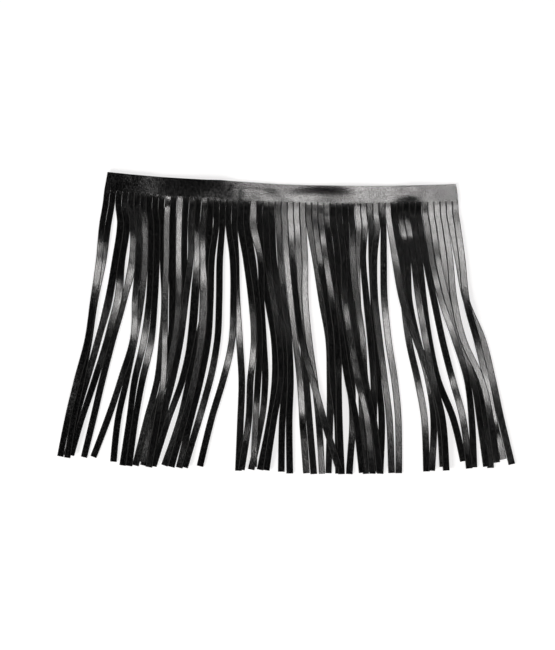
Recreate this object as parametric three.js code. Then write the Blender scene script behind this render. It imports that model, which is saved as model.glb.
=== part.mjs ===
// Black leather fringe: a narrow band of leather, cut along one edge into long strands of one
// length, and laid loosely on a flat surface with its strands splayed and lying over each other.
//
// Millimetres, +Z up. The origin is on the flat underside of the band, close to its middle.
// X runs along the band to the right, and the strands run from it towards -Y.

import * as THREE from 'three';

// The flat piece, as it is cut
const STRANDS = 58;
const PITCH = 4.86; // from one strand to the next, along the band
const SLIT = 0.4; // width that the cut between two strands takes away
const STRAND_LENGTH = 217;
const BAND_HEIGHT = 13.6;
const LEATHER = 1.0; // thickness
const STRAND_WIDTH = PITCH - SLIT;

// How the band lies: its centre line is a shallow bow that also runs a little downhill
const BAND_MIDDLE = 1.2; // X of the middle of its length
const BAND_REACH = 140; // X at which the next three are measured
const BAND_LOW = -0.5; // Y at X = 0
const BAND_FALL = -4.7; // change of Y out to the reach, from running downhill
const BAND_BOW = 5.1; // rise of both ends at the reach

// Where the band lifts off the surface: a soft swell for each row, between which it lies flat
const SWELLS = [
  { x: -112, width: 44, lift: 0.9 },
  { x: -62, width: 50, lift: 1.3 },
  { x: 55, width: 60, lift: 0.8 },
  { x: 108, width: 46, lift: 1.1 },
];

// How the strands lie. Each row is one strand, from left to right: the X at which it crosses
// each of the LINES, and its turn, because a strand laid in a later turn lies on the earlier ones.
// A few were cut short, by the last number.
const LINES = [-26, -54, -86, -118, -150, -182, -230];
const LAY = [
  { crosses: [-142, -144.5, -149, -153.5, -162, -170, -179], turn: 3 },
  { crosses: [-136.5, -141.5, -148, -152.5, -158.5, -165, -172.5], turn: 2 },
  { crosses: [-129, -132, -137, -145.5, -154.5, -163.5, -175], turn: 0 },
  { crosses: [-124, -126, -130, -138.5, -148, -158.5, -172.5], turn: 1 },
  { crosses: [-118.5, -119.5, -124.5, -133.5, -142, -149.5, -161], turn: 0 },
  { crosses: [-113, -114.5, -115.5, -117.5, -127.5, -138, -156.5], turn: 1 },
  { crosses: [-107.5, -108.5, -111, -116.5, -122.5, -129.5, -134.5], turn: 0 },
  { crosses: [-103, -103.5, -105, -109, -116, -121, -127.5], turn: 0 },
  { crosses: [-98.5, -98.5, -100, -103, -110, -115, -122], turn: 0 },
  { crosses: [-93.5, -93.5, -93.5, -94.5, -98, -106.5, -118.5], turn: 2 },
  { crosses: [-91.5, -91.5, -91.5, -91.5, -93, -98, -106.5], turn: 3 },
  { crosses: [-86, -86, -86, -87.5, -92.5, -100, -112], turn: 0 },
  { crosses: [-81, -80.5, -81, -84, -92, -101.5, -113], turn: 1, short: 2 },
  { crosses: [-76, -76, -76, -80, -87, -93.5, -103.5], turn: 0 },
  { crosses: [-71, -72, -75.5, -79.5, -86, -94, -105], turn: 1 },
  { crosses: [-66, -67, -68, -71, -78, -89.5, -104.5], turn: 2 },
  { crosses: [-61, -61.5, -61, -63, -68.5, -76.5, -90], turn: 1 },
  { crosses: [-56, -56, -59, -65.5, -72.5, -80, -96.5], turn: 0 },
  { crosses: [-53, -54.5, -55.5, -57.5, -63.5, -71.5, -83], turn: 1 },
  { crosses: [-47.5, -48, -48.5, -50, -56, -65, -79], turn: 2 },
  { crosses: [-41, -37.5, -37, -38.5, -45.5, -55, -66.5], turn: 1 },
  { crosses: [-36, -35, -34.5, -32.5, -30.5, -31.5, -33.5], turn: 0 },
  { crosses: [-30.5, -27.5, -23, -21, -23, -25, -32], turn: 0 },
  { crosses: [-25.5, -22.5, -18, -16, -17.5, -19.5, -21.5], turn: 2, short: 3 },
  { crosses: [-20, -15.5, -15, -12.5, -11, -14, -25], turn: 1 },
  { crosses: [-16, -15, -10, -4.5, -4, -8, -17.5], turn: 0 },
  { crosses: [-11.5, -9.5, -4.5, -0.5, 0.5, -4, -11.5], turn: 1 },
  { crosses: [-6.5, -4, -0.5, 3.5, 4.5, 2, 1], turn: 0 },
  { crosses: [-1.5, 0, 3.5, 7.5, 8.5, 7.5, 8], turn: 1 },
  { crosses: [3.5, 5.5, 8, 12, 16, 18, 21.5], turn: 0 },
  { crosses: [8, 10.5, 13.5, 17.5, 26.5, 35.5, 50], turn: 3 },
  { crosses: [13, 15, 17, 19, 21, 23.5, 27.5], turn: 0 },
  { crosses: [18, 20, 20, 23, 27.5, 31, 34], turn: 1 },
  { crosses: [23.5, 28.5, 33.5, 39, 40, 40, 38.5], turn: 0 },
  { crosses: [27.5, 32, 37.5, 41, 42, 46, 47], turn: 1 },
  { crosses: [33.5, 37, 41.5, 45.5, 47, 47.5, 49.5], turn: 2 },
  { crosses: [38.5, 41.5, 44.5, 49.5, 55, 61.5, 66.5], turn: 2 },
  { crosses: [43, 46, 47, 52, 56.5, 58, 54], turn: 1 },
  { crosses: [48, 51, 52, 57, 63, 69.5, 74], turn: 3 },
  { crosses: [53, 54, 57, 63, 68.5, 74.5, 80.5], turn: 2 },
  { crosses: [57.5, 58.5, 62, 66.5, 70, 75, 80], turn: 1 },
  { crosses: [62, 61.5, 63, 66, 65, 66, 69], turn: 0 },
  { crosses: [67.5, 67, 70, 72.5, 75, 75, 74], turn: 1 },
  { crosses: [72, 73.5, 75, 76, 79, 81.5, 80], turn: 0 },
  { crosses: [76.5, 76, 76, 79.5, 83.5, 87.5, 89.5], turn: 2 },
  { crosses: [81.5, 83, 83.5, 86.5, 91.5, 94.5, 95], turn: 0 },
  { crosses: [87.5, 91.5, 98.5, 109, 121.5, 127.5, 131], turn: 2 },
  { crosses: [93.5, 96, 98.5, 103, 110, 115.5, 117.5], turn: 0 },
  { crosses: [99, 102.5, 104.5, 110, 118.5, 123, 121], turn: 1 },
  { crosses: [104, 107.5, 111, 116.5, 122.5, 130, 133.5], turn: 3 },
  { crosses: [109, 112, 115, 119.5, 126.5, 139, 150], turn: 0, short: 5 },
  { crosses: [114, 119, 124, 130, 138, 146.5, 152.5], turn: 3 },
  { crosses: [118, 122.5, 129, 140, 149.5, 153.5, 155.5], turn: 2 },
  { crosses: [122.5, 126.5, 133.5, 143.5, 154.5, 160, 166.5], turn: 1 },
  { crosses: [127.5, 131, 135, 145, 156, 165.5, 169], turn: 0 },
  { crosses: [132, 136, 139, 146.5, 161, 168.5, 175], turn: 3, short: 2.5 },
  { crosses: [137.5, 142.5, 149.5, 162, 170, 177, 188.5], turn: 1 },
  { crosses: [143, 145.5, 149, 157.5, 165, 170, 181.5], turn: 2, short: 6.5 },
];

// How one strand lies on another
const AIR = 0.3; // left between a strand and what it lies on
const STEEPEST = 0.14; // climb of a strand for each millimetre of its length
const TIPPED = 0.3; // greatest slope across a strand
const TRY_STEP = 0.02; // between the slopes that are tried
const WORTH_TIPPING = 0.001; // a strand stays level unless tipping lowers its middle by this much
const ROOT_STEP = 8; // length of a strand's first straight piece
const PIECES = 18; // straight pieces in each strand
const HELD = 4; // a strand can't climb this close to its root

// The height of everything laid so far, on a fine grid over the surface
const CELL = 0.2;
const FIELD = { left: -190, right: 195, low: -240, high: 0 };
const FIELD_COLUMNS = Math.ceil((FIELD.right - FIELD.left) / CELL);
const FIELD_ROWS = Math.ceil((FIELD.high - FIELD.low) / CELL);
const laid = new Float32Array(FIELD_COLUMNS * FIELD_ROWS);

function cellAt(x, y) {
  const column = Math.floor((x - FIELD.left) / CELL);
  const row = Math.floor((y - FIELD.low) / CELL);
  return row * FIELD_COLUMNS + column;
}

// The band

const bandY = (x) => BAND_LOW + BAND_FALL * (x / BAND_REACH) + BAND_BOW * (x / BAND_REACH) ** 2;
const bandSlope = (x) => (BAND_FALL + 2 * BAND_BOW * (x / BAND_REACH)) / BAND_REACH;

function bandLift(x) {
  let lift = 0;
  for (const swell of SWELLS) {
    const off = Math.abs(x - swell.x) / (swell.width / 2);
    if (off < 1) lift += swell.lift * 0.5 * (1 + Math.cos(Math.PI * off));
  }
  return lift;
}

// A point of the band: x along its centre line, up its width from there, and above its underside
function bandPoint(x, up, above) {
  const slope = bandSlope(x);
  const length = Math.hypot(slope, 1);
  return [x - (slope / length) * up, bandY(x) + up / length, bandLift(x) + above];
}

// Where along the band the middle of a strand is
const rootX = (index) => BAND_MIDDLE + (index + 0.5 - STRANDS / 2) * PITCH;

// The way of a strand over the surface

// X of a strand at height y: a smooth curve through its knots, each an [x, y] from the root down
function across(knots, rootSlope, y) {
  let k = 1;
  while (k < knots.length - 1 && y < knots[k][1]) k += 1;
  const slopeAt = (n) => {
    if (n === 0) return rootSlope;
    const before = knots[n - 1];
    const after = knots[Math.min(n + 1, knots.length - 1)];
    return (after[0] - before[0]) / (after[1] - before[1]);
  };
  const [x0, y0] = knots[k - 1];
  const [x1, y1] = knots[k];
  const span = y1 - y0;
  const t = (y - y0) / span;
  const rest = 1 - t;
  return rest * rest * (1 + 2 * t) * x0 + t * t * (3 - 2 * t) * x1
    + span * t * rest * (rest * slopeAt(k - 1) - t * slopeAt(k));
}

const lengthOf = (index) => STRAND_LENGTH - (LAY[index].short ?? 0);

// One place for every millimetre of a strand's length, each with the direction to its right
function wayOf(index) {
  const root = bandPoint(rootX(index), -BAND_HEIGHT / 2, 0);
  const rootSlope = -bandSlope(rootX(index));
  const knots = [[root[0], root[1]], ...LINES.map((line, n) => [LAY[index].crosses[n], line])];
  const way = [];
  let y = root[1];
  for (let length = 0; length <= lengthOf(index); length += 1) {
    const here = across(knots, rootSlope, y);
    const slope = here - across(knots, rootSlope, y - 1);
    const size = Math.hypot(slope, 1);
    way.push({ x: here, y, rightX: 1 / size, rightY: -slope / size });
    y -= 1 / size;
  }
  return way;
}

// Laying a strand on what lies there already

const OFFSET_COUNT = 45;
const OFFSETS = Array.from({ length: OFFSET_COUNT },
  (_, n) => STRAND_WIDTH * (n / (OFFSET_COUNT - 1) - 0.5));

// The highest thing under each offset across the strand, over a stretch of its length
function underneath(way, from, to) {
  return OFFSETS.map((off) => {
    let height = 0;
    for (let n = Math.max(from, HELD); n <= Math.min(to, way.length - 1); n += 1) {
      const place = way[n];
      height = Math.max(height, laid[cellAt(place.x + off * place.rightX, place.y + off * place.rightY)]);
    }
    return height > 0 ? height + AIR : 0;
  });
}

// How high the middle of the strand lies, when it slopes by tip from left to right
function restingHeight(under, tip) {
  return Math.max(...under.map((height, n) => height - tip * OFFSETS[n]));
}

function settledTip(under) {
  let best = 0;
  for (let tip = -TIPPED; tip <= TIPPED; tip += TRY_STEP) {
    if (restingHeight(under, tip) < restingHeight(under, best) - WORTH_TIPPING) best = tip;
  }
  return best;
}

// The stations of a strand, each a place on its way with the height and the slope of its underside
function layStrand(index) {
  const way = wayOf(index);
  const step = (way.length - 1 - ROOT_STEP) / (PIECES - 1);
  const marks = [0];
  for (let n = 0; n < PIECES; n += 1) marks.push(Math.round(ROOT_STEP + n * step));
  const under = marks.map((mark, n) => underneath(way, marks[Math.max(n - 1, 0)],
    marks[Math.min(n + 1, PIECES)]));
  const tips = under.map(settledTip);
  const soft = tips.map((tip, n) => (n === 0 ? 0
    : (tips[n - 1] + 2 * tip + tips[Math.min(n + 1, PIECES)]) / 4));
  const heights = under.map((stretch, n) => restingHeight(stretch, soft[n]));
  heights[0] = bandLift(rootX(index));
  for (let n = 1; n <= PIECES; n += 1) {
    heights[n] = Math.max(heights[n], heights[n - 1] - STEEPEST * (marks[n] - marks[n - 1]));
  }
  for (let n = PIECES - 1; n > 0; n -= 1) {
    heights[n] = Math.max(heights[n], heights[n + 1] - STEEPEST * (marks[n + 1] - marks[n]));
  }
  return marks.map((mark, n) => ({ ...way[mark], mark, height: heights[n], tip: soft[n] }));
}

// The four corners of a strand at a station: underside left, underside right, top right, top left
function sectionAt(station) {
  const length = Math.hypot(1, station.tip);
  const cos = 1 / length;
  const sin = station.tip / length;
  const corner = (off, above) => {
    const flat = off * cos - above * sin;
    return [
      station.x + flat * station.rightX,
      station.y + flat * station.rightY,
      station.height + off * sin + above * cos,
    ];
  };
  const half = STRAND_WIDTH / 2;
  return [corner(-half, 0), corner(half, 0), corner(half, LEATHER), corner(-half, LEATHER)];
}

// Raises the field to the top of a strand between two of its sections
function markLaid(from, to, length) {
  const alongSteps = Math.ceil(length / CELL);
  const acrossSteps = Math.ceil(STRAND_WIDTH / (CELL / 2));
  const mix = (a, b, t) => a.map((value, axis) => value + (b[axis] - value) * t);
  for (let n = 0; n <= alongSteps; n += 1) {
    const right = mix(from[2], to[2], n / alongSteps);
    const left = mix(from[3], to[3], n / alongSteps);
    for (let m = 0; m <= acrossSteps; m += 1) {
      const [x, y, z] = mix(left, right, m / acrossSteps);
      const cell = cellAt(x, y);
      laid[cell] = Math.max(laid[cell], z);
    }
  }
}

const sections = [];
const order = LAY.map((row, index) => index).sort((a, b) => LAY[a].turn - LAY[b].turn || a - b);
for (const index of order) {
  const stations = layStrand(index);
  sections[index] = stations.map(sectionAt);
  for (let n = 1; n < stations.length; n += 1) {
    markLaid(sections[index][n - 1], sections[index][n], stations[n].mark - stations[n - 1].mark);
  }
}

// The skin: one closed surface around the band and all its strands

const points = [];
const faces = [];
const addPoint = (point) => points.push(...point) / 3 - 1;
const addQuad = (a, b, c, d) => faces.push(a, b, c, a, c, d);

// Four walls from one ring of corners to the next; open is the number of a wall that is left out
function addWalls(from, to, open) {
  for (let n = 0; n < 4; n += 1) {
    const next = (n + 1) % 4;
    if (n !== open) addQuad(from[n], to[n], to[next], from[next]);
  }
}

// A ring round the band: cut side underneath, cut side on top, far side on top, far side underneath
function bandRing(x) {
  const half = BAND_HEIGHT / 2;
  return [[-half, 0], [-half, LEATHER], [half, LEATHER], [half, 0]]
    .map(([up, above]) => addPoint(bandPoint(x, up, above)));
}

let last = null;
for (let index = 0; index < STRANDS; index += 1) {
  const left = bandRing(rootX(index) - STRAND_WIDTH / 2);
  const right = bandRing(rootX(index) + STRAND_WIDTH / 2);
  if (last === null) addQuad(left[0], left[1], left[2], left[3]);
  else addWalls(last, left, -1);
  addWalls(left, right, 0);

  // the strand grows from the wall that was left out
  let ring = [left[0], right[0], right[1], left[1]];
  for (const section of sections[index].slice(1)) {
    const nextRing = section.map(addPoint);
    addWalls(nextRing, ring, -1);
    ring = nextRing;
  }
  addQuad(ring[0], ring[1], ring[2], ring[3]);
  last = right;
}
addQuad(last[3], last[2], last[1], last[0]);

const geometry = new THREE.BufferGeometry();
geometry.setAttribute('position', new THREE.Float32BufferAttribute(points, 3));
geometry.setIndex(faces);
geometry.computeVertexNormals();

const leather = new THREE.MeshStandardMaterial({ color: 0x141416, roughness: 0.42, metalness: 0 });
const fringe = new THREE.Mesh(geometry, leather);
fringe.name = 'fringe';

const part = new THREE.Group();
part.add(fringe);

export default part;
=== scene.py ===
# %% [markdown]
# # A black leather fringe
#
# The real thing is one piece of thin black leather. A narrow band along the top is left whole, and
# below it the leather is slit into 58 long strands. It lies on a white table, seen from straight
# above, with the strands splayed and lying over each other.
#
# It could be made as 58 loose ribbons joined to a bar, or as a flat grid that a cloth simulation
# drops on the table. Loose ribbons show a seam at every root, and a simulation lets the strands
# fall where it likes. So this lesson does what the maker did: one flat piece is cut, and then each
# of its points is moved to where the laid leather is. Every strand keeps its real length and
# width, and the pattern of the leather stays on the leather.

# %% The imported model
import math

import bmesh
import bpy
import numpy as np
from mathutils import Matrix, Vector


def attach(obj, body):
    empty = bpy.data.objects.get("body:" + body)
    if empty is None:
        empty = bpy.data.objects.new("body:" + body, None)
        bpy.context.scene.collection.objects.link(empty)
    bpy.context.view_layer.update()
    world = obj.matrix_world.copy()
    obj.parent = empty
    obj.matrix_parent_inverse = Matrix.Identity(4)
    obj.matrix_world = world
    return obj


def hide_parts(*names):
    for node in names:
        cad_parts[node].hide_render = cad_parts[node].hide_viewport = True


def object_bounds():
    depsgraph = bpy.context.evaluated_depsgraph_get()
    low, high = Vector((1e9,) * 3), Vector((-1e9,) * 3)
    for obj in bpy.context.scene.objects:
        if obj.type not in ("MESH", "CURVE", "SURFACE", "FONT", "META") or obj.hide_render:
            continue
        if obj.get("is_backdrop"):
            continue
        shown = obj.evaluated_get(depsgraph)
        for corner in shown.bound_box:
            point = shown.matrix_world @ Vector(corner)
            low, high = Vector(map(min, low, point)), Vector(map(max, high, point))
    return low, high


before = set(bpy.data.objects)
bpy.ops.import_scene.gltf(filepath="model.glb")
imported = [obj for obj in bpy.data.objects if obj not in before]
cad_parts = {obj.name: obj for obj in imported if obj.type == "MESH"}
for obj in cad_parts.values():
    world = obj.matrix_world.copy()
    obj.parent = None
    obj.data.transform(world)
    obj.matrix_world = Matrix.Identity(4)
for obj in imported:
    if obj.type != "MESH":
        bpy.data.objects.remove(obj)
cad_box = [list(corner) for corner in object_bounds()]
MM = 0.001  # the lesson works in millimetres, and turns them into metres at the end
print("nodes of the packed model:", sorted(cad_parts))

# %% [markdown]
# ## The piece before it is laid
#
# Fringe is sold by the height of its band and the length and width of its strands, so these sizes
# drive all the rest. The solid model has them too. The visible leather could be measured from that
# model's box, but the box only knows how the fringe lies, not how it was cut.

# %% Sizes of the flat piece, in millimetres
STRANDS = 58
PITCH = 4.86  # from one strand to the next
SLIT = 0.05  # what the knife takes away
STRAND_LENGTH = 217
BAND_HEIGHT = 13.6
LEATHER = 1.0  # thickness
STRAND_WIDTH = PITCH - SLIT
BAND_LENGTH = STRANDS * PITCH - SLIT
print(f"one piece of {BAND_LENGTH:.0f} x {BAND_HEIGHT + STRAND_LENGTH:.0f} mm")

# %% [markdown]
# ## The camera
#
# The fringe is seen from straight above. The camera could be far away with a long lens or near with
# a short one. From 2 m the strands show no sides, as in the photo, and the gloss still changes
# along the band. The sensor's 36 mm go to the longer side of the picture, which is its height.

# %% The camera
VIEW_HEIGHT = 520  # mm of table that the picture shows from its top to its bottom
VIEW_MIDDLE = (-2, -106)
CAMERA_HEIGHT = 2.0  # metres

camera_data = bpy.data.cameras.new("camera")
camera_data.sensor_width = 36
camera_data.lens = camera_data.sensor_width * CAMERA_HEIGHT / (VIEW_HEIGHT * MM)
camera = bpy.data.objects.new("camera", camera_data)
camera.location = (VIEW_MIDDLE[0] * MM, VIEW_MIDDLE[1] * MM, CAMERA_HEIGHT)
bpy.context.scene.collection.objects.link(camera)
bpy.context.scene.camera = camera
print(f"lens {camera_data.lens:.1f} mm")

# %% [markdown]
# ## How the strands lie
#
# Seen from above, a strand's way over the table is just a line. It could be drawn as a curve with
# many points, but the eye reads a photo better one level at a time: where does this strand cross
# this line? So the table below gives the X at which each strand crosses seven lines, the turn in
# which it was laid, which says which strand lies on which, and how much it was cut short.

# %% Where each strand crosses the lines
LINES = [-26, -54, -86, -118, -150, -182, -230]
LAY = [
    (-142, -144.5, -149, -153.5, -162, -170, -179, 3, 0),
    (-136.5, -141.5, -148, -152.5, -158.5, -165, -172.5, 2, 0),
    (-129, -132, -137, -145.5, -154.5, -163.5, -175, 0, 0),
    (-124, -126, -130, -138.5, -148, -158.5, -172.5, 1, 0),
    (-118.5, -119.5, -124.5, -133.5, -142, -149.5, -161, 0, 0),
    (-113, -114.5, -115.5, -117.5, -127.5, -138, -156.5, 1, 0),
    (-107.5, -108.5, -111, -116.5, -122.5, -129.5, -134.5, 0, 0),
    (-103, -103.5, -105, -109, -116, -121, -127.5, 0, 0),
    (-98.5, -98.5, -100, -103, -110, -115, -122, 0, 0),
    (-93.5, -93.5, -93.5, -94.5, -98, -106.5, -118.5, 2, 0),
    (-91.5, -91.5, -91.5, -91.5, -93, -98, -106.5, 3, 0),
    (-86, -86, -86, -87.5, -92.5, -100, -112, 0, 0),
    (-81, -80.5, -81, -84, -92, -101.5, -113, 1, 2),
    (-76, -76, -76, -80, -87, -93.5, -103.5, 0, 0),
    (-71, -72, -75.5, -79.5, -86, -94, -105, 1, 0),
    (-66, -67, -68, -71, -78, -89.5, -104.5, 2, 0),
    (-61, -61.5, -61, -63, -68.5, -76.5, -90, 1, 0),
    (-56, -56, -59, -65.5, -72.5, -80, -96.5, 0, 0),
    (-53, -54.5, -55.5, -57.5, -63.5, -71.5, -83, 1, 0),
    (-47.5, -48, -48.5, -50, -56, -65, -79, 2, 0),
    (-41, -37.5, -37, -38.5, -45.5, -55, -66.5, 1, 0),
    (-36, -35, -34.5, -32.5, -30.5, -31.5, -33.5, 0, 0),
    (-30.5, -27.5, -23, -21, -23, -25, -32, 0, 0),
    (-25.5, -22.5, -18, -16, -17.5, -19.5, -21.5, 2, 3),
    (-20, -15.5, -15, -12.5, -11, -14, -25, 1, 0),
    (-16, -15, -10, -4.5, -4, -8, -17.5, 0, 0),
    (-11.5, -9.5, -4.5, -0.5, 0.5, -4, -11.5, 1, 0),
    (-6.5, -4, -0.5, 3.5, 4.5, 2, 1, 0, 0),
    (-1.5, 0, 3.5, 7.5, 8.5, 7.5, 8, 1, 0),
    (3.5, 5.5, 8, 12, 16, 18, 21.5, 0, 0),
    (8, 10.5, 13.5, 17.5, 26.5, 35.5, 50, 3, 0),
    (13, 15, 17, 19, 21, 23.5, 27.5, 0, 0),
    (18, 20, 20, 23, 27.5, 31, 34, 1, 0),
    (23.5, 28.5, 33.5, 39, 40, 40, 38.5, 0, 0),
    (27.5, 32, 37.5, 41, 42, 46, 47, 1, 0),
    (33.5, 37, 41.5, 45.5, 47, 47.5, 49.5, 2, 0),
    (38.5, 41.5, 44.5, 49.5, 55, 61.5, 66.5, 2, 0),
    (43, 46, 47, 52, 56.5, 58, 54, 1, 0),
    (48, 51, 52, 57, 63, 69.5, 74, 3, 0),
    (53, 54, 57, 63, 68.5, 74.5, 80.5, 2, 0),
    (57.5, 58.5, 62, 66.5, 70, 75, 80, 1, 0),
    (62, 61.5, 63, 66, 65, 66, 69, 0, 0),
    (67.5, 67, 70, 72.5, 75, 75, 74, 1, 0),
    (72, 73.5, 75, 76, 79, 81.5, 80, 0, 0),
    (76.5, 76, 76, 79.5, 83.5, 87.5, 89.5, 2, 0),
    (81.5, 83, 83.5, 86.5, 91.5, 94.5, 95, 0, 0),
    (87.5, 91.5, 98.5, 109, 121.5, 127.5, 131, 2, 0),
    (93.5, 96, 98.5, 103, 110, 115.5, 117.5, 0, 0),
    (99, 102.5, 104.5, 110, 118.5, 123, 121, 1, 0),
    (104, 107.5, 111, 116.5, 122.5, 130, 133.5, 3, 0),
    (109, 112, 115, 119.5, 126.5, 139, 150, 0, 5),
    (114, 119, 124, 130, 138, 146.5, 152.5, 3, 0),
    (118, 122.5, 129, 140, 149.5, 153.5, 155.5, 2, 0),
    (122.5, 126.5, 133.5, 143.5, 154.5, 160, 166.5, 1, 0),
    (127.5, 131, 135, 145, 156, 165.5, 169, 0, 0),
    (132, 136, 139, 146.5, 161, 168.5, 175, 3, 2.5),
    (137.5, 142.5, 149.5, 162, 170, 177, 188.5, 1, 0),
    (143, 145.5, 149, 157.5, 165, 170, 181.5, 2, 6.5),
]
print(len(LAY), "strands, laid in", 1 + max(row[-2] for row in LAY), "turns")

# %% [markdown]
# A second, closer look moves some crossings by up to two millimetres. Strands that lie edge to edge
# touch in the photo, but numbers read off a photo never fit that well, and each error would show as a
# slit of light. They could all be read again. It is easier to say which gaps are shut, and to let
# a loop push such neighbours apart or together, a little in each round, until they are one strand
# apart.

# %% Strands that lie edge to edge
# strand, line and millimetres to the right
NUDGES = [
    (0, 0, -0.7), (7, 0, 0.8), (7, 1, 0.8), (7, 5, 0.4), (8, 0, 1.2), (8, 1, 1.2), (8, 2, 0.4),
    (8, 5, -0.4), (9, 0, 1.5), (9, 1, 1.5), (9, 2, 1.2), (10, 0, -0.5), (10, 1, -0.5),
    (10, 2, -0.5), (10, 3, -0.6), (10, 4, -0.6), (20, 0, -0.5), (22, 4, -0.6), (23, 1, 0.8),
    (24, 0, 0.4), (24, 3, -0.6), (24, 4, -0.7), (24, 5, -0.7), (26, 5, -0.9), (26, 6, -0.6),
    (30, 4, -0.4), (30, 5, -0.4), (34, 0, 0.4), (36, 4, -0.6), (36, 5, -0.6), (37, 6, 1.2),
    (39, 3, -1.8), (39, 4, -1.3), (40, 3, -1.2), (40, 4, -1.8), (41, 2, -1), (41, 3, -1.5),
    (42, 2, -0.7), (44, 1, -0.7), (46, 1, -1), (47, 1, 0.3), (48, 1, -0.6), (48, 2, -0.5),
    (51, 1, -1), (51, 2, -0.7), (52, 0, 0.3), (56, 2, -0.7), (57, 5, 1.2), (57, 6, 1),
]
TOUCHING = 4.0  # strands nearer than this lie on each other
JUST_OPEN = np.array([6.2, 6.1, 5.6, 5.3, 5.3, 5.3, 5.3])  # strands further apart show a gap
ROUNDS = 200
PUSH = 0.25  # the part of a gap's error that each of its two strands gives way in a round

crosses = np.array([row[:len(LINES)] for row in LAY], dtype=float)
for strand, line, shift in NUDGES:
    crosses[strand, line] += shift
read_crosses = crosses.copy()
read_gaps = np.diff(crosses, axis=0)
shut = (read_gaps > TOUCHING) & (read_gaps < JUST_OPEN)
for _ in range(ROUNDS):
    push = np.where(shut, (PITCH - np.diff(crosses, axis=0)) * PUSH, 0)
    crosses[:-1] -= push
    crosses[1:] += push
has_neighbour = np.pad(shut, ((1, 1), (0, 0)))
free = 1.0 - (has_neighbour[1:] | has_neighbour[:-1])
print(f"{shut.sum()} shut gaps, eased by up to {np.abs(crosses - read_crosses).max():.2f} mm")

# %% [markdown]
# ## The band as it lies
#
# The band isn't straight. It follows a shallow bow, and it lifts off the table in four low swells.
# On glossy leather even a slope of one degree shows, and the photo tells more than height would:
# the left half of the band is black, because its upper edge stands a little higher and it mirrors
# the dark room, and the right half is grey, because it faces the lamps. Soft dents make the dark
# smudges. These could be painted as colour, but painted gloss stands still when the view moves.
# Here they are shape: leans along the band and a few round dents.

# %% The bow, the swells and the leans of the band
BAND_MIDDLE = 1.2  # X of its middle
BAND_REACH = 140  # from there to its ends
BAND_LOW = -0.5  # Y of its centre line at X 0
BAND_FALL = -4.7  # what the centre line falls over the reach
BAND_BOW = 5.1  # what the bow lifts it by there
# X, width and lift of each swell
SWELLS = [(-112, 44, 0.9), (-62, 50, 1.3), (55, 60, 0.8), (108, 46, 1.1)]
# X, and the degrees by which the band's top faces down the picture
BAND_LEANS = [
    (-142, 5.5), (-128, 5), (-118, 1.8), (-104, 2.2), (-86, 4.4), (-49, 4.4), (-27, -1), (150, -1),
]


def eased(t):
    """A soft step from 0 to 1."""
    t = np.clip(t, 0, 1)
    return t * t * (3 - 2 * t)


def band_lean(x):
    """The lean at x, with a soft step from each value to the next."""
    marks, leans = np.array(BAND_LEANS).T
    k = np.clip(np.searchsorted(marks, x) - 1, 0, len(marks) - 2)
    return leans[k] + eased((x - marks[k]) / (marks[k + 1] - marks[k])) * (leans[k + 1] - leans[k])


def band_y(x):
    return BAND_LOW + BAND_FALL * (x / BAND_REACH) + BAND_BOW * (x / BAND_REACH) ** 2


def band_slope(x):
    return (BAND_FALL + 2 * BAND_BOW * (x / BAND_REACH)) / BAND_REACH


def band_point(x, up):
    """The place on the table of a point of the band, at a height up the band."""
    slope = band_slope(x)
    length = np.hypot(slope, 1)
    return x - slope / length * up, band_y(x) + up / length


def band_lift(x, up):
    """How far the underside of the band is off the table, at x and at a height up the band."""
    lift = 0 * x
    for middle, width, height in SWELLS:
        off = np.minimum(np.abs(x - middle) / (width / 2), 1)
        lift = lift + height * 0.5 * (1 + np.cos(np.pi * off))
    lean = np.tan(np.radians(band_lean(x)))
    half = BAND_HEIGHT / 2
    return lift + np.maximum(lean, 0) * (half + up) - np.minimum(lean, 0) * (half - up)


def root_x(index):
    """Where along the band a strand starts."""
    return BAND_MIDDLE + (index + 0.5 - STRANDS / 2) * PITCH


band_lifts = band_lift(np.linspace(root_x(0), root_x(STRANDS - 1), 400), BAND_HEIGHT / 2)
print(f"the upper edge of the band is up to {band_lifts.max():.1f} mm off the table")

# %% Soft dents
# X, height up the band, half length, half height and depth, less than 0 for a bulge
DENTS = [
    (34, -1, 32, 8, 0.4),
    (-8, -2, 9, 6, 0.12),
    (-62, 0, 27, 20, 0.8),
    (-20, 2, 16, 2, 0.04),
    (80, -8, 30, 22, -0.7),
    (102, -18, 19, 18, 1.1),
    (112, 6, 9, 4, 0.15),
]


def dents(x, up):
    """How far the dents take the leather down, at x and at a height up the band."""
    down = 0 * (x + up)
    for middle, height, reach, rise, depth in DENTS:
        off = np.minimum(((x - middle) / reach) ** 2 + ((up - height) / rise) ** 2, 1)
        down = down + depth * (1 - off) ** 2
    return down


print(len(DENTS), "dents and bulges, up to", max(abs(row[-1]) for row in DENTS), "mm deep")

# %% [markdown]
# ## The way of one strand
#
# Between the lines a strand swings in one smooth curve. A polygon through the crossings would show
# its corners in the gloss. A Bezier curve would do, but then the strand's length has to be measured
# along it. A cubic between each two crossings gives X for any Y, so the way is walked one
# millimetre at a time from the root, until the length of the strand is used up. The first stretch
# keeps straight on from the band, because there the strands hold each other.

# %% The way of a strand
STRAIGHT = 8  # mm by which a strand goes straight on from the band
# first strand, last strand and how much longer they are than the solid model's
LONGER = [
    (7, 9, 2.2), (10, 17, 1.2), (18, 19, 1.2), (28, 37, 1.0), (54, 54, 1.5),
]


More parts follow.
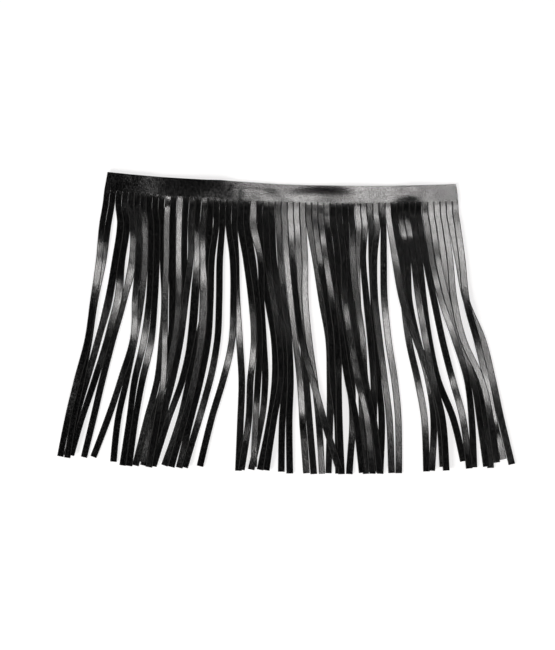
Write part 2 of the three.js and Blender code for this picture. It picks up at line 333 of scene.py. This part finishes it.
def across(knots, root_slope, y):
    """X of a strand at a height y: a smooth curve through its knots, from the root down."""
    k = 1
    while k < len(knots) - 1 and y < knots[k][1]:
        k += 1

    def slope_at(n):
        if n < 2:
            return root_slope
        before, after = knots[n - 1], knots[min(n + 1, len(knots) - 1)]
        return (after[0] - before[0]) / (after[1] - before[1])

    (x0, y0), (x1, y1) = knots[k - 1], knots[k]
    span = y1 - y0
    t = (y - y0) / span
    rest = 1 - t
    bend = span * t * rest * (rest * slope_at(k - 1) - t * slope_at(k))
    return rest * rest * (1 + 2 * t) * x0 + t * t * (3 - 2 * t) * x1 + bend


def way_of(index):
    """Places along a strand, one for each millimetre: x, y and the direction to its right."""
    start = root_x(index)
    root = band_point(start, -BAND_HEIGHT / 2)
    root_slope = -band_slope(start)
    knots = [root, band_point(start, -BAND_HEIGHT / 2 - STRAIGHT), *zip(crosses[index], LINES)]
    longer = sum(extra for first, last, extra in LONGER if first <= index <= last)
    length = STRAND_LENGTH - LAY[index][-1] + longer
    places, y = [], root[1]
    for _ in range(int(length) + 2):
        x = across(knots, root_slope, y)
        slope = x - across(knots, root_slope, y - 1)
        size = math.hypot(slope, 1)
        places.append((x, y, 1 / size, -slope / size))
        y -= 1 / size
    return np.array(places), length


ends = [way_of(index)[0][-1] for index in range(STRANDS)]
print(f"the strands end between Y {min(e[1] for e in ends):.0f} and {max(e[1] for e in ends):.0f}")

# %% [markdown]
# ## How each strand leans
#
# A strand lies twisted by a few degrees, and that decides how it looks. Glossy leather is a black
# mirror: where a strand faces the dark room it is black, and where it faces halfway between the
# camera and the lamp it is bright. The lean could be guessed as random numbers, but then the bright
# and the black strands would be others than the real ones. So each strand's looks are written down
# in plain words, with the stretches where they change, and a function works out the lean that gives
# such a look at that place. The words were set one by one, and changed where the render then came
# out much lighter or darker than the photo. Between two looks the strand turns slowly, as leather does.

# %% Looks and the leans that give them
LAMP_X = 390  # where the side lamp mirrors on the table, in mm
LAMP_HEIGHT = 3.0  # metres
LEAN_OF = {"black": -7, "dark": -3, "flat": 0}  # degrees
SHARE_OF = {"grey": 0.38, "light": 0.58, "bright": 0.85, "glossy": 1.0}  # of the mirror's lean


def mirror_lean(x):
    """Degrees by which the leather has to face right, at x, to show the side lamp."""
    return math.degrees(MM * (1 / CAMERA_HEIGHT + 1 / LAMP_HEIGHT) / 2) * (LAMP_X - x)


def lean_of(look, x):
    """Degrees by which the leather faces right, at x, when it has this look."""
    if look in LEAN_OF:
        return LEAN_OF[look] + 0 * x
    return SHARE_OF[look] * mirror_lean(x)


print(f"a strand shows the lamp when it leans {mirror_lean(-140):.0f} degrees at the left end,"
      f" {mirror_lean(0):.0f} in the middle and {mirror_lean(140):.0f} at the right end")

# %% What each strand looks like
# The usual look of each strand, and stretches that look otherwise: look, from Y, to Y
LOOKS = [
    ("black", ("bright", -42, -86), ("grey", -146, -190)),
    ("black", ("bright", -44, -88)),
    ("black", ("grey", -86, -146)),
    ("black", ("dark", -3, -19), ("bright", -72, -96), ("light", -96, -116), ("grey", -116, -138)),
    ("dark", ("grey", -36, -52), ("bright", -52, -82), ("grey", -82, -106)),
    ("dark", ("bright", -92, -123), ("light", -147, -172)),
    ("dark", ("grey", -25, -86), ("bright", -100, -126), ("black", -158, -216)),
    ("black", ("bright", -102, -138)),
    ("black", ("bright", -114, -145)),
    ("black", ("grey", -88, -136), ("dark", -136, -166), ("grey", -166, -218)),
    ("grey", ("light", -17, -67), ("bright", -128, -164), ("black", -172, -216)),
    ("black", ("grey", -162, -176)),
    ("grey", ("bright", -8, -68), ("dark", -76, -97), ("light", -144, -166), ("dark", -174, -186),
     ("light", -192, -216)),
    ("black",),
    ("dark",),
    ("black", ("bright", -35, -70), ("dark", -178, -206)),
    ("grey", ("dark", -14, -43), ("bright", -54, -72), ("light", -72, -112), ("dark", -166, -218)),
    ("black", ("grey", -74, -108), ("grey", -166, -218)),
    ("black", ("grey", -198, -222)),
    ("black", ("grey", -132, -154), ("light", -166, -190)),
    ("black", ("glossy", -105, -148), ("dark", -162, -198)),
    ("black", ("bright", -81, -128), ("dark", -131, -218)),
    ("black", ("grey", -90, -120), ("bright", -122, -145), ("dark", -150, -218)),
    ("black", ("grey", -168, -190), ("light", -190, -222)),
    ("black", ("glossy", -8, -48), ("grey", -166, -186), ("light", -198, -222)),
    ("black",),
    ("dark", ("black", -14, -66), ("black", -122, -218)),
    ("dark", ("black", -14, -66), ("black", -122, -218)),
    ("dark", ("flat", -6, -38), ("black", -122, -218)),
    ("grey", ("bright", -43, -96), ("light", -96, -122), ("bright", -154, -180), ("black", -182, -192)),
    ("dark", ("glossy", -7, -43), ("black", -50, -122), ("grey", -130, -154), ("light", -154, -176)),
    ("dark", ("glossy", -7, -32), ("light", -32, -115)),
    ("light", ("bright", -56, -110), ("grey", -156, -178), ("dark", -178, -198)),
    ("dark", ("flat", -8, -78)),
    ("black", ("dark", -6, -24), ("light", -32, -56)),
    ("black", ("flat", -6, -24), ("glossy", -36, -80)),
    ("black", ("light", 4, -22), ("dark", -78, -110)),
    ("black", ("grey", -178, -200)),
    ("black", ("light", -84, -113), ("dark", -120, -137), ("grey", -139, -150), ("light", -156, -176),
     ("grey", -176, -214)),
    ("black",),
    ("flat", ("black", -11, -41), ("light", -100, -128), ("black", -136, -218)),
    ("flat", ("glossy", -7, -30), ("light", -56, -122), ("black", -126, -154), ("grey", -156, -176)),
    ("black", ("glossy", -7, -32)),
    ("black", ("light", 4, -24)),
    ("flat", ("bright", 0, -17), ("black", -26, -90), ("light", -134, -168), ("grey", -168, -202)),
    ("black", ("grey", -3, -20), ("bright", -86, -134), ("light", -136, -186), ("grey", -186, -226)),
    ("dark", ("glossy", -7, -32), ("light", -32, -56), ("flat", -122, -158)),
    ("black", ("flat", -76, -126), ("light", -144, -198)),
    ("black", ("light", -24, -35), ("light", -113, -140), ("grey", -140, -166)),
    ("black", ("bright", -24, -33), ("light", -83, -115), ("flat", -122, -154)),
    ("black",),
    ("black", ("grey", -145, -156), ("light", -158, -190)),
    ("flat", ("light", -8, -35), ("bright", -83, -113), ("black", -146, -218)),
    ("bright", ("glossy", -28, -51), ("light", -56, -86), ("grey", -86, -142), ("black", -147, -226)),
    ("bright", ("grey", -56, -138), ("black", -146, -188), ("dark", -188, -226)),
    ("bright", ("light", -56, -166), ("black", -176, -218)),
    ("bright", ("light", -45, -86), ("grey", -86, -154), ("dark", -158, -226)),
    ("bright", ("light", -56, -74), ("black", -84, -121), ("grey", -131, -147),
     ("bright", -153, -182), ("black", -187, -193), ("grey", -200, -226)),
]
print(sum(len(row) - 1 for row in LOOKS), "stretches look otherwise than the rest of their strand")

# %% The twist along a strand
TURN_SHARE = 0.9  # of a stretch, over which the strand turns from one look to the next
SHORTEST_TURN, LONGEST_TURN = 12, 36  # mm, at least and at most


def twist_of(index, x, y):
    """The slope from the left to the right edge of a strand, at each place along it."""
    usual, *stretches = LOOKS[index]
    degrees = lean_of(usual, x)
    for look, start, end in stretches:
        turn = np.clip(TURN_SHARE * (start - end), SHORTEST_TURN, LONGEST_TURN)
        part = eased((start - y) / turn + 0.5) * eased((y - end) / turn + 0.5)
        degrees = degrees + part * (lean_of(look, x) - lean_of(usual, x))
    return -np.tan(np.radians(degrees))


steepest = max(np.abs(twist_of(n, *way_of(n)[0].T[:2])).max() for n in range(STRANDS))
print(f"no strand is twisted by more than {math.degrees(math.atan(steepest)):.0f} degrees")

# %% [markdown]
# ## Laying the strands on each other
#
# Where strands cross, the upper one climbs over the lower one in a long low hump. Blender's cloth
# could be tried, but 58 thin strips that collide with each other would hardly come to rest where
# the real ones lie. Here they are laid one by one: a fine grid over the table remembers how high
# everything is that lies there, the next strand is put on it as low as it can go, and then it is
# marked on the grid itself. The outermost edges are left out of that, so that neighbours can lie
# at one height. The price is that edges of this model's strands sink into each other.

# %% The height of everything that lies there
CELL = 0.2
LEFT, RIGHT, LOW, HIGH = -195, 200, -240, 10  # the table that the grid covers
laid = np.zeros((int((HIGH - LOW) / CELL), int((RIGHT - LEFT) / CELL)))


def cells(x, y):
    """The row and the column of the grid in which a place lies."""
    return ((y - LOW) / CELL).astype(int), ((x - LEFT) / CELL).astype(int)


print("the grid has", laid.shape[0], "x", laid.shape[1], "cells")

# %% Rows of heights along a strand
def widest(values, reach):
    """The highest of each value's neighbours along the strand."""
    padded = np.pad(values, [(reach, reach)] + [(0, 0)] * (values.ndim - 1), mode="edge")
    return np.max([padded[n:n + len(values)] for n in range(2 * reach + 1)], axis=0)


def softened(values, reach):
    """Each value averaged with its neighbours, the nearest most."""
    padded = np.pad(values, (reach, reach), mode="edge")
    weights = np.hanning(2 * reach + 3)[1:-1]
    return np.convolve(padded, weights / weights.sum(), mode="valid")


print("a step of 1 mm softened over 3 mm:", softened(np.repeat([0.0, 1.0], 4), 3).round(2))

# %% One strand, laid as low as it can go
EDGES = 0.5  # the part of a strand's width that carries nothing and is left out
LAID_WIDTH = STRAND_WIDTH - EDGES
OFFSETS = np.linspace(-0.5, 0.5, 45) * LAID_WIDTH  # the places across a strand that are looked at
AIR = 0.05  # between a strand and what it lies on
HELD = 5  # mm beside the band in which the strands hold each other
NEAR = 2  # mm by which everything on the grid counts as longer than it is
STIFF = 6  # mm by which a hump starts before what it climbs over
SAG = 0.005  # mm by which each millimetre of a free stretch hangs through
PASSES = 300
SOFT = 12  # mm over which the heights are averaged
TWIST_FROM, LEAVES_BAND = 4, 10  # mm over which the twist and the height set in


def lay_strand(index):
    """The way, the heights and the twist of a strand on top of everything that lies there."""
    way, length = way_of(index)
    x, y, right_x, right_y = way.T
    along = np.arange(len(x))
    under = laid[cells(x[:, None] + OFFSETS * right_x[:, None],
                       y[:, None] + OFFSETS * right_y[:, None])]
    under[:HELD] = 0
    under = widest(under, NEAR)
    under = np.where(under > 0, under + AIR, 0)
    twist = twist_of(index, x, y) * eased(along / TWIST_FROM)

    base = np.max(under - twist[:, None] * OFFSETS, axis=1)
    base[:HELD] = 0
    base = widest(base, STIFF)
    height = base.copy()
    height[0] = band_lift(root_x(index), -BAND_HEIGHT / 2)
    for _ in range(PASSES):
        height[1:-1] = np.maximum(base[1:-1], (height[:-2] + height[2:]) / 2 - SAG)
    height = height[0] + (softened(height, SOFT) - height[0]) * eased(along / LEAVES_BAND)
    height = np.maximum(height - dents(x, -BAND_HEIGHT / 2 - along), 0)
    return {"x": x, "y": y, "right_x": right_x, "right_y": right_y,
            "height": height, "twist": twist, "length": length}


first = lay_strand(0)
print(f"the first strand is {first['length']} mm long and {first['height'].max():.1f} mm high")

# %% Its top, and its mark on the grid
def top_at(strand, along, off):
    """Points of the top of a laid strand, at a length along it and an offset across."""
    marks = np.arange(len(strand["x"]))
    x, y, right_x, right_y, height, twist = (
        np.interp(along, marks, strand[key])
        for key in ("x", "y", "right_x", "right_y", "height", "twist"))
    size = np.hypot(1, twist)
    cos, sin = 1 / size, twist / size
    level = off * cos - LEATHER * sin
    return x + level * right_x, y + level * right_y, height + off * sin + LEATHER * cos


def mark_laid(strand):
    """Raises the grid to the top of a laid strand."""
    along = np.arange(0, strand["length"], CELL / 2)[:, None]
    off = np.arange(-LAID_WIDTH / 2, LAID_WIDTH / 2, CELL / 2)
    x, y, z = top_at(strand, along, off[None, :])
    np.maximum.at(laid, cells(x, y), z)


# %% All strands in their turns
ON_TOP = [35]  # strands that lie on all the others of their turn

order = sorted(range(STRANDS), key=lambda index: (LAY[index][-2], index in ON_TOP, index))
strands = {}
for index in order:
    strands[index] = lay_strand(index)
    mark_laid(strands[index])
print(f"the pile is {laid.max():.2f} mm high")

# %% [markdown]
# ## Cutting the leather
#
# The flat piece is a grid: four faces across each strand and one narrow face for each slit, rows
# for the band and rows for the strands. A boolean could cut the slits out of a plain sheet, but it
# leaves long thin triangles that spoil the gloss. Deleting the faces that are slits leaves clean
# strips of four-sided faces. The outer strip of each strand is a narrow one, because there the
# knife pulled the leather down. It gets the material of the cut edge.

# %% The flat piece with its slits
BAND_ROWS = 20
STRAND_ROWS = 108
ACROSS = 4  # faces across a strand
COLUMNS = STRANDS * (ACROSS + 1) - 1
ROWS = BAND_ROWS + STRAND_ROWS
GRAIN_SIDE, FLESH_SIDE, CUT_EDGE = range(3)  # the material slots

flat = bmesh.new()
one_step_a_face = (Matrix.Translation((COLUMNS / 2, ROWS / 2, 0))
                   @ Matrix.Diagonal((COLUMNS, ROWS, 1, 1)))
bmesh.ops.create_grid(flat, x_segments=COLUMNS, y_segments=ROWS, size=0.5, matrix=one_step_a_face)


def strip_of(face):
    """The strip of a strand in which a face is, 0 at its left edge, or None on the band."""
    middle = face.calc_center_median()
    return int(middle.x) % (ACROSS + 1) if middle.y > BAND_ROWS else None


slits = [face for face in flat.faces if strip_of(face) == ACROSS]
bmesh.ops.delete(flat, geom=slits, context="FACES")
for face in flat.faces:
    if strip_of(face) in (0, ACROSS - 1):
        face.material_index = CUT_EDGE
for edge in flat.edges:
    kinds = {face.material_index for face in edge.link_faces}
    edge.smooth = not edge.is_boundary and len(kinds) == 1
print("the flat piece has", len(flat.faces), "faces and", len(flat.verts), "points")

# %% [markdown]
# ## Moving the points to where the leather lies
#
# Each point knows its column and row in the grid, so it knows whether it is on the band or on a
# strand, and how far along. The band takes its place from the bow, a strand from the way that was
# worked out for it. The flat place is kept as a UV map in metres, so the leather's pattern has its
# real size everywhere. No two strands are quite alike: free stretches are a little wider, some
# strands show wider than the others for a stretch, and the band's upper edge was trimmed askew.

# %% How unevenly it is cut
EDGE = 0.52  # width of the outer strips
EDGE_DROP = 0.25  # how far the knife pulled them down
STRIPS = [0, EDGE / STRAND_WIDTH, 0.5, 1 - EDGE / STRAND_WIDTH, 1]
CLOSE = 0.12  # how much wider than the pitch allows each strand is, so that no light comes through
SPREAD = 0.5  # how much wider a strand is where nothing lies beside it
# strand, from Y, to Y and how much wider it is there, which the laying doesn't know of: here
# strands sink into each other most
WIDER = [
    (2, -10, -110, 0.9), (3, -10, -120, 1.3), (4, -34, -84, 1.5), (5, -30, -100, 0.6),
    (11, -10, -110, 0.9), (15, -56, -130, 1.4), (16, -56, -130, 1.2), (17, -4, -50, 1.3),
    (22, -8, -50, 0.7), (23, -4, -76, 1.4), (24, -2, -50, 1.5), (31, -112, -146, 1.2),
    (35, -114, -156, 1), (37, -110, -176, 1.6), (38, -104, -170, 1.2), (46, -36, -110, 1),
]
WIDER_FROM = 20  # mm over which that sets in
ALL_SHUT = 10  # mm below Y 0 at which no strand is free yet
# X and how much higher the upper edge of the band was cut
TRIM = [
    (-142, 0.4), (-96, 0.5), (-60, 0.9), (-48, 1.4), (-20, 0.9), (0, 0.3), (142, 0),
]
ASKEW = 1.2  # how far the band's upper corners are moved to the right


def width_at(index, y):
    """How wide a strand is at a height y."""
    free_at = np.interp(-y, [ALL_SHUT, *(-np.array(LINES))], [0, *free[index]])
    width = STRAND_WIDTH + CLOSE + SPREAD * free_at
    for strand, start, end, extra in WIDER:
        if strand == index:
            width += extra * eased((start - y) / WIDER_FROM) * eased((y - end) / WIDER_FROM)
    return width


def band_place(u, row):
    """The laid place of a point of the band, and how far down the piece it is."""
    high = 1 - row / BAND_ROWS  # 1 at the upper edge, 0 at the roots
    x = root_x(0) - STRAND_WIDTH / 2 + u
    left_corner = max(1 - u / PITCH, 0)
    right_corner = max(1 - (BAND_LENGTH - u) / PITCH, 0)
    x += ASKEW * high * (left_corner - high * right_corner)
    up = BAND_HEIGHT * (high - 0.5) + high * np.interp(x, *zip(*TRIM))
    return (*band_point(x, up), band_lift(x, up) - dents(x, up) + LEATHER), -BAND_HEIGHT * (1 - high)


def strand_place(index, part, row):
    """The laid place of a point of a strand, and how far down the piece it is."""
    strand = strands[index]
    along = (row - BAND_ROWS) / STRAND_ROWS * strand["length"]
    y = np.interp(along, np.arange(len(strand["y"])), strand["y"])
    x, y, z = top_at(strand, along, width_at(index, y) * (STRIPS[part] - 0.5))
    if part in (0, ACROSS):
        z -= EDGE_DROP
    return (x, y, z), -BAND_HEIGHT - along


print(f"strand 3 is {width_at(3, -60):.1f} mm wide at Y -60 and {width_at(3, -200):.1f} at Y -200")

# %% Every point to its place
uv_layer = flat.loops.layers.uv.new("leather")
flat_places = {}
for point in flat.verts:
    column, row = round(point.co.x), round(point.co.y)
    index, part = divmod(column, ACROSS + 1)
    u = index * PITCH + STRIPS[part] * STRAND_WIDTH
    place, v = band_place(u, row) if row <= BAND_ROWS else strand_place(index, part, row)
    flat_places[point] = (u * MM, v * MM)
    point.co = Vector(place) * MM
for face in flat.faces:
    for loop in face.loops:
        loop[uv_layer].uv = flat_places[loop.vert]
bmesh.ops.recalc_face_normals(flat, faces=flat.faces)
if sum(face.normal.z for face in flat.faces) < 0:
    bmesh.ops.reverse_faces(flat, faces=flat.faces)

mesh = bpy.data.meshes.new("fringe_leather")
flat.to_mesh(mesh)
flat.free()
mesh.polygons.foreach_set("use_smooth", [True] * len(mesh.polygons))
leather = bpy.data.objects.new("fringe_leather", mesh)
bpy.context.scene.collection.objects.link(leather)
print(f"the laid leather is {leather.dimensions.x:.3f} x {leather.dimensions.y:.3f} m")

# %% [markdown]
# ## Thickness
#
# The leather is 1 mm thick. The underside could be a second grid, joined by hand along all the
# slits. Solidify does just that: it keeps the top where it is, puts the underside a millimetre
# below it and closes every cut edge, each with a material slot of its own.

# %% Solidify
thickness = leather.modifiers.new("thickness", "SOLIDIFY")
thickness.thickness = LEATHER * MM
thickness.offset = -1
thickness.material_offset = FLESH_SIDE
thickness.material_offset_rim = CUT_EDGE

shown = leather.evaluated_get(bpy.context.evaluated_depsgraph_get()).to_mesh()
shown.calc_loop_triangles()
print(len(shown.loop_triangles), "triangles with its underside and edges")

# %% [markdown]
# ## The pattern of leather
#
# Leather has a grain side that was dyed and glazed, a flesh side of matted fibres, and cut edges
# that show the fibres end on. All three have the same build, only at other sizes: small plates
# with a sheen of their own, fine pores between them, and flecks where the dye took worse. Each
# material could have its own copies of those textures. One node group that is built once, with
# its sizes as inputs, is easier to change and keeps the three alike.

# %% A node group for plates, pores and flecks
PORE_DETAIL, FLECK_DETAIL = 2, 1  # finer steps that are laid over each noise


def leather_pattern():
    """A random number for each plate, and the noise of the pores and of the flecks."""
    group = bpy.data.node_groups.new("leather pattern", "ShaderNodeTree")
    sockets = group.interface
    sockets.new_socket("Vector", in_out="INPUT", socket_type="NodeSocketVector")
    for name in ("Plates per metre", "Pores per metre", "Flecks per metre"):
        sockets.new_socket(name, in_out="INPUT", socket_type="NodeSocketFloat")
    for name in ("Plates", "Pores", "Flecks"):
        sockets.new_socket(name, in_out="OUTPUT", socket_type="NodeSocketFloat")
    given = group.nodes.new("NodeGroupInput").outputs
    result = group.nodes.new("NodeGroupOutput").inputs

    plates = group.nodes.new("ShaderNodeTexVoronoi")
    plates.voronoi_dimensions = "2D"
    number_of_plate = group.nodes.new("ShaderNodeSeparateColor")
    group.links.new(plates.outputs["Color"], number_of_plate.inputs["Color"])
    group.links.new(number_of_plate.outputs["Red"], result["Plates"])

    pores = group.nodes.new("ShaderNodeTexNoise")
    flecks = group.nodes.new("ShaderNodeTexNoise")
    for noise, detail, name in ((pores, PORE_DETAIL, "Pores"), (flecks, FLECK_DETAIL, "Flecks")):
        noise.noise_dimensions = "2D"
        noise.inputs["Detail"].default_value = detail
        group.links.new(noise.outputs["Fac"], result[name])
    for texture, name in ((plates, "Plates"), (pores, "Pores"), (flecks, "Flecks")):
        group.links.new(given["Vector"], texture.inputs["Vector"])
        group.links.new(given[f"{name} per metre"], texture.inputs["Scale"])
    return group


PATTERN = leather_pattern()
print("the pattern gives", [socket.name for socket in PATTERN.interface.items_tree
                            if socket.in_out == "OUTPUT"])

# %% [markdown]
# ## The three sides of the leather
#
# The grain side is nearly pure black with a tight gloss. Its plates differ in roughness and its
# pores tilt the surface by a degree or two, which breaks each highlight into the fine grain that
# the photo shows. Deeper pores would turn the highlights into worms. The flesh side and the cut
# edges have larger fibres, hardly any gloss and a colour that is a little lighter.

# %% Plain material and leather material
FLECK_RANGE = (0.55, 0.75)  # of the fleck noise: below it is dye, above it bare leather


def plain_material(name, colour, roughness):
    """A material of one colour and one roughness, and its shader."""
    made = bpy.data.materials.new(name)
    made.use_nodes = True
    shader = made.node_tree.nodes["Principled BSDF"]
    shader.inputs["Base Color"].default_value = (*colour, 1)
    shader.inputs["Roughness"].default_value = roughness
    return made, shader


def leather_material(name, sizes, colours, roughness, depth):
    """A side of the leather: its pattern's sizes, dye and fleck colour, roughness and pore depth."""
    made, shader = plain_material(name, colours[0], roughness[0])
    tree = made.node_tree
    flat_place = tree.nodes.new("ShaderNodeUVMap")
    flat_place.uv_map = "leather"
    pattern = tree.nodes.new("ShaderNodeGroup")
    pattern.node_tree = PATTERN
    tree.links.new(flat_place.outputs["UV"], pattern.inputs["Vector"])
    for kind, size in zip(("Plates", "Pores", "Flecks"), sizes):
        pattern.inputs[f"{kind} per metre"].default_value = size

    sheen = tree.nodes.new("ShaderNodeMapRange")
    sheen.inputs["To Min"].default_value, sheen.inputs["To Max"].default_value = roughness
    tree.links.new(pattern.outputs["Plates"], sheen.inputs["Value"])
    tree.links.new(sheen.outputs["Result"], shader.inputs["Roughness"])

    pores = tree.nodes.new("ShaderNodeBump")
    pores.inputs["Distance"].default_value = depth * MM
    tree.links.new(pattern.outputs["Pores"], pores.inputs["Height"])
    tree.links.new(pores.outputs["Normal"], shader.inputs["Normal"])

    fleck = tree.nodes.new("ShaderNodeMapRange")
    fleck.inputs["From Min"].default_value, fleck.inputs["From Max"].default_value = FLECK_RANGE
    tree.links.new(pattern.outputs["Flecks"], fleck.inputs["Value"])
    dye = tree.nodes.new("ShaderNodeMix")
    dye.data_type = "RGBA"
    dye.inputs["A"].default_value, dye.inputs["B"].default_value = [(*c, 1) for c in colours]
    tree.links.new(fleck.outputs["Result"], dye.inputs["Factor"])
    tree.links.new(dye.outputs["Result"], shader.inputs["Base Color"])
    return made, shader


print("flecks show where the noise is above", FLECK_RANGE[0])

# %% Grain side, flesh side and cut edge
CUT_GLOSS = 0.15  # of what a smooth surface has

grain_side, _ = leather_material(
    "grain side", sizes=(1100, 1000, 750), depth=0.06,
    colours=((0.0004, 0.0004, 0.0005), (0.012, 0.012, 0.012)), roughness=(0.12, 0.24))
flesh_side, _ = leather_material(
    "flesh side", sizes=(700, 500, 400), depth=0.15,
    colours=((0.004, 0.004, 0.004), (0.02, 0.018, 0.016)), roughness=(0.82, 0.95))
cut_edge, cut_shader = leather_material(
    "cut edge", sizes=(900, 800, 700), depth=0.05,
    colours=((0.012, 0.012, 0.012), (0.03, 0.028, 0.026)), roughness=(0.6, 0.8))
cut_shader.inputs["Specular IOR Level"].default_value = CUT_GLOSS
for side in (grain_side, flesh_side, cut_edge):
    mesh.materials.append(side)
print("materials in their slots:", [side.name for side in mesh.materials])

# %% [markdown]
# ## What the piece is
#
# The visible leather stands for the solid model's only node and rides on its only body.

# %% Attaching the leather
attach(leather, "root")
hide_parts("fringe")
print("the leather stands for the node", *sorted(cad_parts))

# %% [markdown]
# ## The table
#
# The photo's ground is nearly pure white with hardly a shadow, which a grey floor under soft lamps
# never gives. It could be lit far brighter, but then the leather's gloss would burn out too. A
# floor that glows faintly by itself stays white, and still takes a soft contact shadow.

# %% A pale floor
FLOOR_REACH = 4  # metres each way
TABLE_COLOUR = (0.5, 0.5, 0.5)
TABLE_ROUGHNESS = 0.6
TABLE_GLOSS = 0.2
TABLE_GLOW = 0.56

floor_mesh = bpy.data.meshes.new("floor")
ground = bmesh.new()
bmesh.ops.create_grid(ground, x_segments=1, y_segments=1, size=FLOOR_REACH)
ground.to_mesh(floor_mesh)
ground.free()
floor = bpy.data.objects.new("floor", floor_mesh)
bpy.context.scene.collection.objects.link(floor)
floor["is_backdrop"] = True
table, table_shader = plain_material("table", TABLE_COLOUR, TABLE_ROUGHNESS)
table_shader.inputs["Specular IOR Level"].default_value = TABLE_GLOSS
table_shader.inputs["Emission Color"].default_value = (1, 1, 1, 1)
table_shader.inputs["Emission Strength"].default_value = TABLE_GLOW
floor_mesh.materials.append(table)
print(f"the floor is {floor.dimensions.x:.0f} x {floor.dimensions.y:.0f} m")

# %% [markdown]
# ## Light
#
# The gloss on black leather is nothing but the lamps' mirror image. So a lamp is placed by the
# patch of the table in which its image would lie, and by its brightness as seen, and its place,
# size and power follow from that. One lamp's image lies above the fringe and lights the band's
# right half. The other lies to the right and lights what faces right. A weak fill from the left
# keeps the black parts from going dead.

# %% Lamps placed by their mirror image
LAMP_COLOUR = (1, 0.98, 0.97)
LAMP_GLOW = 24  # brightness of the two mirrored lamps


def soft_light(name, place, aim, size, power):
    """A lamp with a rectangular face, in metres and watts, turned towards a point."""
    data = bpy.data.lights.new(name, "AREA")
    data.shape = "RECTANGLE"
    data.size, data.size_y = size
    data.energy = power
    data.color = LAMP_COLOUR
    light = bpy.data.objects.new(name, data)
    light.location = place
    light.rotation_mode = "QUATERNION"
    light.rotation_quaternion = (Vector(aim) - Vector(place)).to_track_quat("-Z", "Y")
    bpy.context.scene.collection.objects.link(light)
    return light


def mirrored_lamp(name, image, image_size, brightness):
    """A lamp whose mirror image lies on the table round a place, both in millimetres."""
    # the table is this share of the way from the camera to the lamp behind the mirror
    share = CAMERA_HEIGHT / (CAMERA_HEIGHT + LAMP_HEIGHT)
    x, y = [(image[n] * MM - (1 - share) * camera.location[n]) / share for n in range(2)]
    width, height = [side * MM / share for side in image_size]
    power = brightness * math.pi * width * height
    return soft_light(name, (x, y, LAMP_HEIGHT), (x, y, 0), (width, height), power)


top_lamp = mirrored_lamp("top", image=(70, 130), image_size=(230, 150), brightness=LAMP_GLOW)
side_lamp = mirrored_lamp("side", image=(LAMP_X, -90), image_size=(160, 380), brightness=LAMP_GLOW)
soft_light("fill", place=(-1.6, -1.3, 1.0), aim=(0, -0.1, 0), size=(0.8, 0.8), power=45)
for light in (top_lamp, side_lamp):
    print(light.name, "lamp at", [round(c, 2) for c in light.location], "m,",
          f"{light.data.energy:.0f} W")

# %% [markdown]
# ## The room
#
# Seen from the side, glossy leather mirrors what stands low around it, and in a black room that is
# nothing. Four more lamps would show as four patches. A world that glows near the horizon and is
# dark overhead is the pale wall of a studio: it gives the side views their gloss, and the view
# from above doesn't see it.

# %% Pale walls and a dark ceiling
GLOW = 0.6  # strength near the horizon
DARK_CEILING = 0.01  # strength overhead
GLOW_FADES = (0.4, 0.62)  # height as the sine of its angle, from full glow to dark

world = bpy.data.worlds.new("studio")
world.use_nodes = True
tree = world.node_tree
room = tree.nodes["Background"]
room.inputs["Color"].default_value = (1, 1, 1, 1)
direction = tree.nodes.new("ShaderNodeTexCoord")
parts = tree.nodes.new("ShaderNodeSeparateXYZ")
glow = tree.nodes.new("ShaderNodeMapRange")
glow.inputs["From Min"].default_value, glow.inputs["From Max"].default_value = GLOW_FADES
glow.inputs["To Min"].default_value, glow.inputs["To Max"].default_value = GLOW, DARK_CEILING
tree.links.new(direction.outputs["Generated"], parts.inputs["Vector"])
tree.links.new(parts.outputs["Z"], glow.inputs["Value"])
tree.links.new(glow.outputs["Result"], room.inputs["Strength"])
bpy.context.scene.world = world
bpy.context.scene.view_settings.view_transform = "Standard"
print("the room glows up to", round(math.degrees(math.asin(GLOW_FADES[1]))), "degrees of height")

# %% [markdown]
# ## Sizes at the end
#
# Both boxes, the solid model's and the visible leather's, are printed, so they can be compared
# after each change. The visible leather has to stay in the solid model's box, give or take a
# few millimetres.

# %% The two boxes
visual_box = [list(corner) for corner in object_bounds()]
for name, (low, high) in (("solid model", cad_box), ("visible leather", visual_box)):
    print(name, [round(c / MM, 1) for c in low], "to", [round(c / MM, 1) for c in high], "mm")
